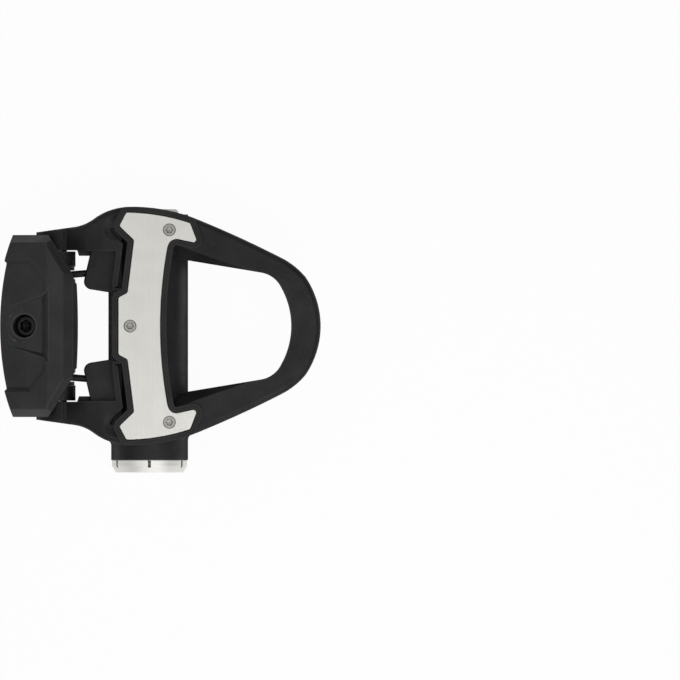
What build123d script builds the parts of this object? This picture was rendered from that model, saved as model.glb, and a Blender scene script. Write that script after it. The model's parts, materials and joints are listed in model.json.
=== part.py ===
"""Left-hand clipless road pedal: carbon-composite body with a steel wear plate, a sprung rear
clip with tension screw, and the bearing set that a crank spindle slides into.

Frame: origin on the spindle axis, midway along the platform. +X points to the nose, +Y away
from the crank, +Z out of the shoe face. Millimetres throughout."""
from build123d import *
import os
from math import cos, pi, radians, sin, sqrt, tan

# ---- Body outline, seen from above (the body is the same on both sides of the XZ plane) ----
nose_x = 49.7             # foremost point of the hoop
nose_r = 25.3             # radius of the nose arc
nose_sweep = 34.0         # half angle of the nose arc, degrees
shoulder_x = 38.5         # where the straight flank turns into the nose
shoulder_y = 19.68
flank_x = 14.0            # where the flank starts behind the shoulder
flank_y = 30.93
flank_bow = 0.3           # how far the flank bows out at its middle
widest_x = -6.0
widest_y = 34.58          # half width of the platform
waist_x = -16.2
waist_in = 3.53           # the waist is this much narrower, each side...
arm_root_x = -21.8
arm_root_in = 2.3         # ...the arms start this much further in...
arm_end_in = 2.45         # ...and their far ends are in by this much more

# ---- Body heights ----
deck_z = 12.0             # top of the border round the wear plate
shoulder_drop = 0.45      # arms and hoop lie this much under the border beside the plate
arm_step = 0.5            # and this much more behind it
nose_top_z = 13.4
nose_low_z = 6.6
hoop_low_z = 4.2
arm_low_z = -6.0
top_round = 1.6           # rounding of the outer top edge
under_round = 1.0         # rounding of the outer bottom edge
ear_flat_x = -25.0        # front end of the flat on top of each ear
ear_step = 0.7            # drop from that flat to the arm
arm_swell_x = -18.5       # where the arm has risen clear of that step
arm_swell_z = 8.3
arm_brow_x = -13.5        # where it has risen to the ledges beside the deck
arm_brow_z = 9.9
under_wall = 2.4          # walls of the pockets under the arms
under_roof_z = 3.5
under_rear_x = 15.0
under_front_x = 30.0
under_rib_x = 22.0
under_rib = 1.6

# ---- Front window and the hook under the nose ----
window_root_y = 20.9      # half width over the spindle axis
window_bend_x = 32.4
window_bend_y = 15.5
window_corner_x = 38.3
window_corner_y = 11.0
window_front_x = 41.15
hook_depth = 2.6          # recess under the nose lip, for the front tab of a cleat
hook_lip = 3.0            # thickness of that lip
hook_half_width = 11.0
inner_bevel_width = 4.8   # slope on the inner side of each arm, widest at the tube
inner_bevel_depth = 6.5
inner_bevel_end_x = 32.0

# ---- Spindle tube ----
tube_r = 11.17
tube_inset = 2.18         # outboard end of the tube inside the platform's half width
collar_reach = 4.32       # collar beyond the platform's half width
collar_flare_r = 1.7      # fillet that carries the collar into the body
web_rear_x = -12.0        # foot of the wall behind the tube
web_top_z = -3.4
web_foot_h = 1.5
web_low_z = -7.5
web_run = 3.0
web_half_width = 22.0

# ---- Wear plate ----
plate_thickness = 1.2
plate_proud = 0.1
plate_gap = 0.2           # groove between plate and border
plate_rear_x = -9.05      # middle tab
plate_tab_y = 8.3
plate_neck_x = -6.4
plate_neck_y = 9.7
plate_notch_x = -4.5
plate_notch_y = 24.9
plate_point_x = -8.8
plate_point_y = 29.0
plate_top_x = -6.7
plate_top_y = 33.0
plate_crown_x = 3.7
plate_crown_y = 32.0
plate_corner_x = 11.9
plate_corner_y = 29.9
plate_tip_x = 14.2
plate_tip_y = 23.9
plate_fork_x = 6.3
plate_fork_y = 25.6
plate_waist_x = 3.2       # front edge at mid width
plate_flare_x = 5.3       # front edge where it meets the fork
plate_flare_y = 22.8
plate_corner_r = 0.9
plate_fork_r = 2.4
border_width = 1.75
groove_width = 1.25
groove_depth = 4.2
groove_inner_y = 11.0
groove_outer_y = 28.6
ledge_width = 1.75
ledge_inner_y = 10.2
ledge_lap = 0.5           # the ledges run this far into the arms
ledge_front_x = -3.0
scoop_r = 9.0             # shallow round hollow in the arm at the groove's outer end
scoop_low_z = 9.6
scoop_x = -10.9
scoop_y = 28.5
plate_edge = 0.15         # chamfer of the plate's top edge

# ---- Plate screws ----
screw_head_r = 1.85
screw_head_h = 1.05
screw_shank_r = 1.0
screw_length = 4.0
screw_socket_r = 0.8
screw_socket_depth = 0.6
screw_side_x = 5.8
screw_side_y = 27.9
screw_middle_x = -5.6

# ---- Spring pads at the rear of the platform ----
pad_thickness = 2.4
pad_inner_y = 9.8
pad_corner_x = -19.5
pad_corner_y = 11.0
pad_outer_x = -16.95
pad_corner_r = 2.3
pad_edge_r = 0.5

# ---- Rear clip pivot ----
pin_x = -26.5
pin_r = 2.5
pin_head_r = 3.6
pin_head_h = 1.2
ear_r = 6.4
bay_upper_y = 21.7        # half width of the bay above the pads' underside
arm_inner_y = 20.4        # and below it
bay_step_x = -21.0
pin_head_gap = 0.1
circlip_h = 0.8
circlip_r = 3.7
circlip_gap = 0.3
circlip_seat_depth = 1.6
bush_r = 3.4
bush_flange_r = 4.7
bush_flange_h = 1.1
knuckle_r = 5.0
knuckle_width = 4.4
side_gap = 0.35           # between clip and ears, each side

# ---- Torsion springs ----
wire_r = 1.0
coil_r = 4.0              # mean radius
coil_turns = 5
coil_pitch = 2.1
front_leg_x = -14.2       # tip of the leg under the pad
rear_leg_reach = 10.0
coil_clearance = 0.6
sleeve_wall = 0.35

# ---- Clip ----
clip_top_z = 18.3
clip_ridge_x = -29.5      # where the flat top turns into the rear slope
clip_slope = 19.0         # rear slope and lean of the tension screw, degrees
clip_back_x = -43.3
clip_back_h = 0.535       # height of the back's upright edge under the rear slope
clip_heel_x = -38.5
clip_heel_z = -6.4
clip_toe_x = -31.6
clip_brow_x = -25.0       # front edge of the flat top
clip_front_x = -22.1
clip_front_drop = 1.4
lip_x = -20.65
lip_z = 15.0              # underside of the lip
lip_half_width = 12.9
lip_bow = 0.35            # how far the lip's ends are set back from its middle
lip_round = 0.7
lip_edge = 0.25           # height of its front edge
lip_wall_x = -24.4        # front wall under the lip
clip_corner_y = 14.9      # half width of the straight front
clip_side_x = -28.9       # front end of the side faces
clip_edge_r = 0.6         # rounding of its outward edges...
clip_edge_z = 8.0         # ...above this height
end_chamfer_width = 2.3
end_chamfer_height = 4.6
back_arc_r = 86.0
side_arc_r = 71.0
side_back_x = -44.5
back_set_y = 18.9         # half width of the part of the back that is set in
back_set_side = 0.7
centre_recess = 0.85
centre_flare = 55.0       # lean of the recess's sides, degrees
centre_rear_y = 17.8      # half widths of its floor
centre_front_y = 12.6
centre_bend_run = 5.5     # from the ridge back to the bend in its outline
badge_rear_y = 5.6        # recess round the tension screw: its floor, level with...
badge_front_y = 7.9
badge_rear_in = 1.8       # ...the clip's back, this much in front of it...
badge_front_run = 1.8     # ...and deepest this much behind the ridge
badge_depth = 0.95
badge_side_flare = 1.05   # run of its side walls per unit of height
badge_front_flare = 0.7
clip_tilt = 16.0          # travel of the clip, degrees

# ---- Tension screw ----
screw_entry_x = -36.75
screw_sink = 2.7          # top of the screw's head below the rear slope
tension_head_r = 2.9
tension_head_h = 2.2
tension_screw_r = 2.4
tension_bore_r = 3.4      # counterbore round the head
tension_hole_r = 2.55
hex_socket = 3.0          # across flats
hex_depth = 2.4
tension_nut_side = 8.0
tension_nut_h = 3.4
tension_travel = 1.6
head_gap = 0.2            # left under the screw's head when it is right in
nut_web = 0.5             # clip material between counterbore and nut
tension_plate_h = 1.7
tension_plate_rear = 6.0
tension_plate_wing_y = 6.4
tension_tongue_y = 3.2
chamber_half_width = 7.2
chamber_length = 13.5
chamber_shift = 1.2       # the chamber's middle behind the screw's axis
chamber_below = 4.2       # room under the springs' rear legs
nut_gap = 0.05

# ---- Bearing set on the spindle axis ----
run_gap = 0.03            # running clearance, radial
seat_gap = 0.01           # clearance where a piece is pressed in
spindle_bore_r = 4.0
journal_r = 6.0           # sleeve under the needles
seat_r = 5.0              # sleeve under the ball bearings
sleeve_inset = 0.9        # sleeve's crank end inside the slotted ring's face
needle_r = 0.97
needle_count = 12
needle_length = 9.4
cup_r = 9.0
cup_length = 12.0
cup_lip_r = 6.5
cup_lip = 1.0
cup_end_gap = 0.3         # between the needle cup and the slotted ring
ball_r = 0.8
ball_count = 10
bearing_od_r = 7.5
ball_cage_wall = 0.6
ball_cage_lap = 0.2       # cage behind the balls' middle plane
ball_cage_reach = 1.4     # and in front of it
ball_cage_gap = 0.1
race_gap = 0.6            # spacers and washer stay this clear of the balls' pitch circle
bearing_width = 4.0
bearing_spacing = 1.0
bearing_shoulder_depth = 14.0   # from the tube's outboard end
shoulder_bore_r = 6.8
nut_flats = 11.0
nut_h = 2.6
washer_h = 0.4
cap_r = 8.3
cap_head = 1.5
cap_thread_r = 7.95
cap_thread_length = 2.6
cap_inner_r = 6.95
cap_web = 1.9
cap_hex = 6.0
cap_hex_depth = 1.2
cap_edge = 0.6
cap_groove = 0.7          # groove for the cap's O-ring
cap_groove_width = 1.0
cap_groove_offset = 0.9
thread_gap = 0.02
ring_r = 10.9
ring_reach = 3.6          # ring beyond the collar
ring_band = 1.75          # cylindrical band of the ring
ring_face_r = 9.8
ring_thread_r = 9.9
ring_thread_length = 4.6
ring_bore_r = 7.2
ring_lip = 0.9
ring_slots = 6
ring_slot_width = 0.87
ring_slot_floor_r = 9.0
seal_r = 8.2
seal_width = 3.6


# ---- Fits between the pieces ----
ear_width = 4.3
clip_inset = 0.1          # the clip's ends beside the ears' outer faces
pin_inset = 0.1           # the pin's ends inside the clip's ends
flange_gap = 0.02
spring_inset = 2.65       # spring's front leg inside the knuckle


# ---- Sizes that follow from the ones above ----
waist_y = widest_y - waist_in
arm_root_y = waist_y - arm_root_in
arm_end_y = arm_root_y - arm_end_in
tube_outboard_y = widest_y - tube_inset
collar_end_y = -widest_y - collar_reach
ring_face_y = collar_end_y - ring_reach
ring_thread_y = collar_end_y + ring_thread_length
cup_crank_y = ring_thread_y + cup_end_gap
sleeve_crank_y = ring_face_y + sleeve_inset
cap_face_y = tube_outboard_y + cap_head
cap_thread_y = tube_outboard_y - cap_thread_length
bearing_shoulder_y = tube_outboard_y - bearing_shoulder_depth
clip_half_width = arm_end_y + clip_inset
pin_end_y = clip_half_width - pin_inset
ear_inner_y = arm_end_y - ear_width
nut_depth = screw_sink + tension_head_h + tension_travel + head_gap + nut_web
arm_top_z = deck_z - shoulder_drop
pad_low_z = coil_r + wire_r + 0.05
pad_top_z = pad_low_z + pad_thickness
pitch_needle = journal_r + run_gap + needle_r
pitch_ball = (seat_r + bearing_od_r) / 2
slope = radians(clip_slope)
screw_down = Vector(sin(slope), 0, -cos(slope))       # along the tension screw, into the clip
screw_back = Vector(-cos(slope), 0, -sin(slope))      # along the rear slope, backwards
screw_entry = Vector(screw_entry_x, 0, clip_top_z - (clip_ridge_x - screw_entry_x) * tan(slope))
knuckle_outer_y = ear_inner_y - side_gap
knuckle_inner_y = knuckle_outer_y - knuckle_width
front_leg_y = knuckle_inner_y - spring_inset
ball_centres = [
    bearing_shoulder_y + bearing_width / 2,
    bearing_shoulder_y + bearing_width * 1.5 + bearing_spacing,
]
bearings_end_y = bearing_shoulder_y + 2 * bearing_width + bearing_spacing
o_ring_y = cap_thread_y + cap_groove_offset


# ---- Helpers ----
far = 60                  # reach of cutters and half spaces beyond the pedal


def prism_y(face_xz, y0, y1):
    """A face drawn in X and Z, carried from y0 to y1."""
    return Pos(0, y1, 0) * extrude(Plane.XZ * face_xz, amount=y1 - y0, dir=(0, -1, 0))


def prism_z(face, z0, z1):
    return Pos(0, 0, z0) * extrude(face, amount=z1 - z0, dir=(0, 0, 1))


def both_sides(shape):
    """The shape and its mirror image in the XZ plane."""
    return shape + mirror(shape, about=Plane.XZ)


def rod_y(r, y0, y1, x=0.0, z=0.0):
    return Pos(x, (y0 + y1) / 2, z) * Rot(90, 0, 0) * Cylinder(r, y1 - y0)


def turned(*profile):
    """A body of revolution about the Y axis from (radius, y) corners."""
    return revolve(make_face(Polyline(*profile, close=True)), Axis.Y)


def ring_y(r_out, r_in, y0, y1):
    return turned((r_in, y0), (r_out, y0), (r_out, y1), (r_in, y1))


def block(x0, x1, y0, y1, z0, z1):
    return Pos((x0 + x1) / 2, (y0 + y1) / 2, (z0 + z1) / 2) * Box(x1 - x0, y1 - y0, z1 - z0)


def full_face(half_edges):
    """Close a half outline, whose ends share one X or lie on the X axis, with its mirror."""
    half = Curve() + half_edges
    ends = [half_edges[0] @ 0, half_edges[-1] @ 1]
    joins = [Line(e, Vector(e.X, -e.Y, 0)) for e in ends if e.Y > 1e-6]
    return make_face(half + mirror(half, about=Plane.XZ) + joins)


def rounded(solid, radius, edges):
    """Round edges, with a smaller radius where the full one finds no room."""
    for share in (1.0, 0.8, 0.6, 0.4, 0.2):
        try:
            result = solid.fillet(radius * share, edges)
        except ValueError:
            continue
        if result.is_valid and 0.9 < result.volume / solid.volume < 1.02:
            return result
    return solid


# ---- Outlines ----
def body_outline():
    centre_x = nose_x - nose_r
    corner = (centre_x + nose_r * cos(radians(nose_sweep)), nose_r * sin(radians(nose_sweep)))
    mid = (centre_x + nose_r * cos(radians(nose_sweep / 2)), nose_r * sin(radians(nose_sweep / 2)))
    arm = Line((pin_x - 2 * ear_r, arm_end_y), (arm_root_x, arm_root_y))
    neck = TangentArc((arm_root_x, arm_root_y), (waist_x, waist_y), tangent=arm % 1)
    cheek = TangentArc((waist_x, waist_y), (widest_x, widest_y), tangent=neck % 1)
    brow = TangentArc((widest_x, widest_y), (flank_x, flank_y), tangent=cheek % 1)
    flank = SagittaArc((flank_x, flank_y), (shoulder_x, shoulder_y), flank_bow)
    shoulder = TangentArc((shoulder_x, shoulder_y), corner, tangent=flank % 1)
    nose = ThreePointArc(corner, mid, (nose_x, 0))
    return full_face([arm, neck, cheek, brow, flank, shoulder, nose])


def window_outline(grow=0.0):
    """Front window; its rear end is inside the tube."""
    flank = Line((0, window_root_y), (window_bend_x, window_bend_y))
    bend = TangentArc(
        (window_bend_x, window_bend_y), (window_corner_x, window_corner_y), tangent=flank % 1
    )
    front = ThreePointArc(
        (window_corner_x, window_corner_y), (window_front_x, 0), (window_corner_x, -window_corner_y)
    )
    half = Curve() + [flank, bend]
    face = make_face(half + mirror(half, about=Plane.XZ) + [front, Line(flank @ 0, mirror(flank, about=Plane.XZ) @ 0)])
    return offset(face, grow) if grow else face


def plate_outline():
    rear = Polyline(
        (plate_rear_x, 0),
        (plate_rear_x, plate_tab_y),
        (plate_neck_x, plate_neck_y),
        (plate_notch_x, plate_notch_y),
        (plate_point_x, plate_point_y),
        (plate_top_x, plate_top_y),
    )
    crown = ThreePointArc(
        (plate_top_x, plate_top_y), (plate_crown_x, plate_crown_y), (plate_corner_x, plate_corner_y)
    )
    lobe = Polyline(
        (plate_corner_x, plate_corner_y),
        (plate_tip_x, plate_tip_y),
        (plate_fork_x, plate_fork_y),
        (plate_flare_x, plate_flare_y),
    )
    half = Curve() + [rear, crown, lobe]
    waist = ThreePointArc(
        (plate_flare_x, plate_flare_y), (plate_waist_x, 0), (plate_flare_x, -plate_flare_y)
    )
    face = make_face(half + mirror(half, about=Plane.XZ) + waist)
    inner = [v for v in face.vertices() if abs(v.X - plate_fork_x) < 0.01]
    face = fillet(inner, plate_fork_r)
    outer = [v for v in face.vertices() if v.X < plate_rear_x + 5 or v.X > plate_fork_x + plate_fork_r + 0.5]
    return fillet(outer, plate_corner_r)


# ---- Pedal body ----
def side_profile():
    """Arms and hoop seen from the side."""
    return make_face(FilletPolyline(
        (pin_x, ear_r),
        (ear_flat_x, ear_r),
        (ear_flat_x + ear_step / 2, ear_r - ear_step),
        (arm_swell_x, arm_swell_z),
        (arm_brow_x, arm_brow_z),
        (widest_x, arm_top_z - arm_step),
        (flank_x, arm_top_z),
        (window_front_x - 4, nose_top_z),
        (nose_x + 1, nose_top_z - 1.2),
        (nose_x + 1, nose_low_z),
        (window_corner_x, hoop_low_z),
        (flank_x, arm_low_z + 0.5),
        (web_rear_x, arm_low_z - 1.0),
        (pin_x, -ear_r),
        radius=[0, 0, 0, 8, 8, 10, 20, 25, 2, 2, 12, 20, 12, 0],
        close=True,
    ))


def hoop_and_arms():
    """Outline and side profile crossed, with the window open and the edges rounded."""
    outline = body_outline()
    solid = (prism_y(side_profile(), -far, far) & prism_z(outline, -far, far)).solids()[0]
    solid = rounded(solid, top_round, rim(solid, 1))
    solid = rounded(solid, under_round, rim(solid, -1))
    solid += rod_y(ear_r, -arm_root_y, arm_root_y, pin_x) & prism_z(outline, -far, far)
    solid -= prism_z(window_outline(), -far, far)
    hook = prism_z(window_outline(hook_depth), -far, nose_top_z - hook_lip)
    solid -= hook & block(window_bend_x, nose_x, -hook_half_width, hook_half_width, -far, far)
    return solid


def rim(solid, side):
    """Edges between the walls and the top (side 1) or underside (side -1) of a moulded shape."""
    faces = solid.faces()
    walls = [f for f in faces if abs(f.normal_at(f.center()).Z) < 0.1 and f.normal_at(f.center()).X > -0.98]
    caps = [f for f in faces if f.normal_at(f.center()).Z * side > 0.3]
    wall_edges = [e for f in walls for e in f.edges()]
    return [e for f in caps for e in f.edges() if any(e.is_same(w) for w in wall_edges)]


def arm_pockets():
    """Pockets moulded into the underside of the front arms, with a rib across each."""
    flank_slope = (shoulder_y - flank_y) / (shoulder_x - flank_x)
    window_slope = (window_bend_y - window_root_y) / window_bend_x

    def pocket(x0, x1):
        outer = [(x, flank_y + (x - flank_x) * flank_slope - under_wall) for x in (x0, x1)]
        inner = [(x, window_root_y + x * window_slope + under_wall) for x in (x1, x0)]
        face = Polygon(*outer, *inner, align=None)
        return prism_z(fillet(face.vertices(), under_wall / 3), -far, under_roof_z)

    half = under_rib / 2
    return both_sides(pocket(under_rear_x, under_rib_x - half) + pocket(under_rib_x + half, under_front_x))


def outline_y(x):
    """Half width of the body at x."""
    return (body_outline() & Pos(x, 0) * Rectangle(0.01, 2 * far)).bounding_box().max.Y


def collar_flare(side):
    """Concave fillet from the spindle collar to the body's outline, behind (-1) or ahead (1) of it."""
    r = collar_flare_r
    y = -outline_y(side * (tube_r + r))
    curve = ThreePointArc(
        (tube_r, y - r), (tube_r + r * (1 - sqrt(0.5)), y - r * (1 - sqrt(0.5))), (tube_r + r, y)
    )
    rest = Polyline((tube_r + r, y), (tube_r + r, y + 4), (tube_r - 2, y + 4), (tube_r - 2, y - r), (tube_r, y - r))
    ring = revolve(make_face(Curve() + [curve, rest]), Axis.Y)
    half = block(0, far, -far, 0, arm_low_z + under_round, arm_top_z)
    return ring & (half if side > 0 else mirror(half, about=Plane.YZ))


def inner_bevel():
    """Wedge that slopes the inner side of a front arm down into the window."""
    x0, x1 = 0.0, inner_bevel_end_x
    top = nose_top_z + 3
    edge_y = window_root_y + inner_bevel_width
    far_y = window_bend_y - (inner_bevel_end_x - window_bend_x) * 0.2
    return ConvexPolyhedron([
        (x0, edge_y + 1.5, arm_top_z), (x0, 0, arm_top_z),
        (x0, edge_y + 3, top), (x0, 0, top),
        (x0, window_root_y, arm_top_z - inner_bevel_depth), (x0, 0, arm_top_z - inner_bevel_depth),
        (x1, far_y, nose_top_z), (x1, 0, nose_top_z), (x1, far_y + 1, top), (x1, 0, top),
    ])


def rear_bay():
    """Room for the clip between the ears and, in front of it, the rear window."""
    def bay(inner_y):
        return full_face([Polyline(
            (pin_x - 2 * ear_r, ear_inner_y),
            (bay_step_x, ear_inner_y),
            (bay_step_x + 0.5, inner_y),
            (web_rear_x + 4, inner_y),
        )])

    return prism_z(bay(arm_inner_y), -far, far) + prism_z(bay(bay_upper_y), pad_low_z, far)


def deck_ring(inner, outer):
    """Band round the plate between two distances from its edge."""
    return offset(plate_outline(), outer) - offset(plate_outline(), inner)


def ledges():
    """Ledges either side of the rear window, level with the arms they run into."""
    ledge = offset(plate_outline(), border_width + groove_width + ledge_width)
    outer_y = bay_upper_y + ledge_lap
    border_x = plate_rear_x - border_width
    zone = block(border_x, ledge_front_x, ledge_inner_y, outer_y, 0, far)
    return prism_z(ledge, 0, far) & both_sides(zone & prism_y(side_profile(), -far, far))


def grooves():
    """Grooves behind the border, each running out into a hollow in the arm."""
    floor_z = deck_z - groove_depth
    band = prism_z(deck_ring(border_width - 0.5, border_width + groove_width), floor_z, far)
    band &= block(web_rear_x - 3, ledge_front_x, groove_inner_y, groove_outer_y, floor_z, far)
    scoop = Pos(scoop_x, scoop_y, scoop_low_z + scoop_r) * Sphere(scoop_r)
    return both_sides(band + scoop)


def border_and_wall():
    """Border round the wear plate, and the wall and foot behind the tube."""
    border = prism_z(offset(plate_outline(), border_width), 0, deck_z) & prism_z(body_outline(), 0, far)
    border_x = plate_rear_x - border_width
    wall = make_face(Polyline(
        (0, 3),
        (border_x, 3),
        (border_x, web_top_z),
        (web_rear_x, web_top_z),
        (web_rear_x, web_top_z - web_foot_h),
        (web_rear_x + web_run, web_low_z),
        (0, web_low_z - web_foot_h),
        close=True,
    ))
    return border + prism_y(wall, -web_half_width, web_half_width)


def pads():
    """Pads that the springs' front legs press up against, one each side of the rear window."""
    outer_y = bay_upper_y + 0.5
    face = Polygon(
        (plate_rear_x, pad_inner_y),
        (web_rear_x, pad_inner_y),
        (pad_corner_x, pad_corner_y),
        (pad_outer_x, outer_y),
        (plate_rear_x, outer_y),
        align=None,
    )
    corner = [v for v in face.vertices() if abs(v.X - pad_corner_x) < 0.01]
    pad = prism_z(fillet(corner, pad_corner_r), pad_low_z, pad_top_z)
    top = pad.faces().sort_by(Axis.Z)[-1]
    rear = [e for e in top.edges() if (e @ 0.5).X < web_rear_x - 0.5 and (e @ 0.5).Y < outer_y - 0.1]
    return both_sides(rounded(pad, pad_edge_r, rear))


def housing_bores():
    """Stepped bore through the tube, from the crank side to the outboard end."""
    cavity = turned(
        (0, collar_end_y - 1),
        (ring_thread_r, collar_end_y - 1),
        (ring_thread_r, ring_thread_y),
        (cup_r + seat_gap, ring_thread_y),
        (cup_r + seat_gap, cup_crank_y + cup_length),
        (shoulder_bore_r, cup_crank_y + cup_length),
        (shoulder_bore_r, bearing_shoulder_y),
        (bearing_od_r + seat_gap, bearing_shoulder_y),
        (bearing_od_r + seat_gap, cap_thread_y),
        (cap_thread_r, cap_thread_y),
        (cap_thread_r, cap_face_y + 2),
        (0, cap_face_y + 2),
    )
    cap_seat = rod_y(cap_r + 0.1, tube_outboard_y, cap_face_y + 3)
    return cavity + cap_seat + circlip_groove()


def circlip_groove():
    y0 = bearings_end_y + 0.02
    return ring_y(bearing_od_r + 0.55, bearing_od_r - 0.5, y0, y0 + circlip_h + 0.04)


def pin_bores():
    bore = rod_y(pin_r + seat_gap, -far, far, pin_x)
    head_seat = rod_y(pin_head_r + pin_head_gap, pin_end_y - pin_head_h, far, pin_x)
    clip_seat = rod_y(circlip_r + circlip_gap, -far, circlip_seat_depth - pin_end_y, pin_x)
    return bore + head_seat + clip_seat


def screw_places():
    return [(screw_side_x, screw_side_y), (screw_side_x, -screw_side_y), (screw_middle_x, 0)]


def pedal_body():
    body = hoop_and_arms() - rear_bay() - both_sides(inner_bevel()) - arm_pockets()
    body = body + ledges() - grooves()
    body += border_and_wall() + pads() + collar_flare(-1) + collar_flare(1)
    body += rod_y(tube_r, collar_end_y, tube_outboard_y)
    pocket = offset(plate_outline(), plate_gap)
    body -= prism_z(pocket, deck_z + plate_proud - plate_thickness, far)
    top = deck_z + plate_proud
    for x, y in screw_places():
        body -= Pos(x, y, top - screw_length / 2) * Cylinder(screw_shank_r + seat_gap, screw_length)
    return body - housing_bores() - pin_bores()


# ---- Wear plate and its screws ----
def wear_plate():
    top = deck_z + plate_proud
    plate = prism_z(plate_outline(), top - plate_thickness, top)
    plate = chamfer(plate.faces().sort_by(Axis.Z)[-1].edges(), plate_edge)
    for x, y in screw_places():
        sink = Pos(x, y, top - screw_head_h / 2) * Cone(
            screw_shank_r + 0.15, screw_head_r + 0.02, screw_head_h
        )
        plate -= sink + Pos(x, y, top) * Cylinder(screw_shank_r + 0.15, 4 * plate_thickness)
    return plate


def plate_screw(x, y):
    top = deck_z + plate_proud
    head = Pos(x, y, top - screw_head_h / 2) * Cone(screw_shank_r, screw_head_r, screw_head_h)
    shank_length = screw_length - screw_head_h
    shank = Pos(x, y, top - screw_head_h - shank_length / 2) * Cylinder(screw_shank_r, shank_length)
    socket = Pos(x, y, top) * extrude(
        RegularPolygon(screw_socket_r, 6), amount=-screw_socket_depth
    )
    return head + shank - socket


def wear_plate_screws():
    return Compound(children=[plate_screw(x, y) for x, y in screw_places()])


# ---- Rear clip ----
def clip_plan():
    """Plan of the clip: bowed back, straight front and slanted corners."""
    back_y = clip_half_width
    back_x = side_back_x + back_y**2 / (2 * side_arc_r)
    half = Polyline(
        (back_x, back_y),
        (clip_side_x - 0.4, back_y),
        (clip_side_x, back_y - 0.6),
        (clip_front_x, clip_corner_y),
        (clip_front_x, 0),
    )
    back = ThreePointArc((back_x, back_y), (side_back_x, 0), (back_x, -back_y))
    return make_face(Curve() + half + mirror(half, about=Plane.XZ) + back)


def lip_plan():
    tip = (lip_x - lip_bow, lip_half_width - lip_round)
    half = Polyline(
        (clip_front_x - 1, 0),
        (clip_front_x - 1, lip_half_width),
        (tip[0] - lip_round, lip_half_width),
        tip,
    )
    front = ThreePointArc(tip, (lip_x, 0), (tip[0], -tip[1]))
    return make_face(Curve() + half + mirror(half, about=Plane.XZ) + front)


def back_cut():
    """Everything behind the middle of the clip's back, which is set in from its sides."""
    y = back_set_y - back_set_side
    x = clip_back_x + y**2 / (2 * back_arc_r)
    arc = ThreePointArc((x, y), (clip_back_x, 0), (x, -y))
    half = Polyline((x, y), (x - back_set_side, back_set_y), (-far, back_set_y), (-far, 0))
    return prism_z(make_face(Curve() + arc + half + mirror(half, about=Plane.XZ)), -far, far)


def above(a, b, c):
    """A big box on the upper side of the plane through three points."""
    normal = (b - a).cross(c - a)
    normal = normal if normal.Z > 0 else normal * -1
    return Plane(origin=a, z_dir=normal) * Pos(0, 0, far) * Box(2 * far, 2 * far, 2 * far)


def front_bevels():
    """What is cut away above the bevels along the front and its slanted corners."""
    edge_z = clip_top_z - clip_front_drop
    brow = Vector(clip_brow_x, 0, clip_top_z)
    corner = Vector(clip_front_x, clip_corner_y, edge_z)
    side = Vector(clip_side_x, clip_half_width - 0.6, edge_z)
    inner = Vector(clip_brow_x, clip_corner_y + 0.6, clip_top_z)
    front = above(brow, brow + Vector(0, 1, 0), corner)
    return front + both_sides(above(corner, side, inner))


def end_chamfer():
    """What is cut away above the slope along each end of the clip."""
    top = Vector(clip_ridge_x, clip_half_width - end_chamfer_width, clip_top_z)
    foot = top + Vector(0, end_chamfer_width, -end_chamfer_height)
    return both_sides(above(top, foot, top + screw_back))


def slope_cut(plan_face, depth, flare):
    """Recess in the rear slope, with sides that flare outwards as they rise."""
    low = Plane(origin=screw_entry + screw_down * depth, x_dir=screw_back * -1, z_dir=screw_down * -1)
    return extrude(low * plan_face, amount=depth + 3, dir=screw_down * -1, taper=-flare)


def centre_recess_cut():
    x = screw_entry_x
    front_x = clip_ridge_x - centre_recess * tan(radians(centre_flare))
    face = Polygon(
        (clip_ridge_x - centre_bend_run - x, centre_rear_y),
        (front_x - x, centre_front_y),
        (front_x - x, -centre_front_y),
        (clip_ridge_x - centre_bend_run - x, -centre_rear_y),
        (-far, -centre_rear_y),
        (-far, centre_rear_y),
        align=None,
    )
    return slope_cut(face, centre_recess, centre_flare)


def badge_cut():
    """Plain recess round the tension screw, deeper towards the front, with flared walls."""
    to_rear = screw_entry_x - (clip_back_x + badge_rear_in)
    to_front = clip_ridge_x - badge_front_run - screw_entry_x
    rear = screw_entry + screw_back * to_rear + screw_down * centre_recess
    front = screw_entry - screw_back * to_front + screw_down * (centre_recess + badge_depth)
    rise = 4.0
    corners = []
    for side in (1, -1):
        corners += [
            (rear.X, side * badge_rear_y, rear.Z),
            (rear.X, side * badge_rear_y, rear.Z + rise),
            (front.X, side * badge_front_y, front.Z),
            (front.X + badge_front_flare * rise, side * (badge_front_y + badge_side_flare * rise),
             front.Z + rise),
        ]
    return ConvexPolyhedron(corners)


def along_screw(shape, depth):
    """Place a shape that points down its own -Z at a depth on the tension screw's axis."""
    at = screw_entry + screw_down * depth
    return Plane(origin=at, x_dir=screw_back * -1, z_dir=screw_down * -1) * shape


def hang(shape):
    """Move a solid that is centred on its origin so that it hangs down from Z = 0."""
    return Pos(0, 0, -shape.bounding_box().size.Z / 2) * shape


def screw_room():
    """Counterbore, screw hole, nut pocket and the chamber for the plate and spring legs."""
    side = tension_nut_side + 2 * nut_gap
    chamber_top = nut_depth + tension_nut_h
    chamber = Box(chamber_length, 2 * chamber_half_width, spring_leg_depth() + chamber_below - chamber_top)
    return (
        along_screw(hang(Cylinder(tension_bore_r, far + nut_depth - nut_web)), -far)
        + along_screw(hang(Cylinder(tension_hole_r, nut_depth)), 0)
        + along_screw(hang(Box(side, side, tension_nut_h + nut_gap)), nut_depth)
        + along_screw(Pos(-chamber_shift, 0, 0) * hang(chamber), chamber_top)
    )


def spring_leg_depth():
    """Depth on the screw axis of the middle of the springs' rear legs."""
    to_pin = Vector(pin_x, 0, 0) - screw_entry
    return to_pin.dot(screw_down) - coil_r


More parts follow.
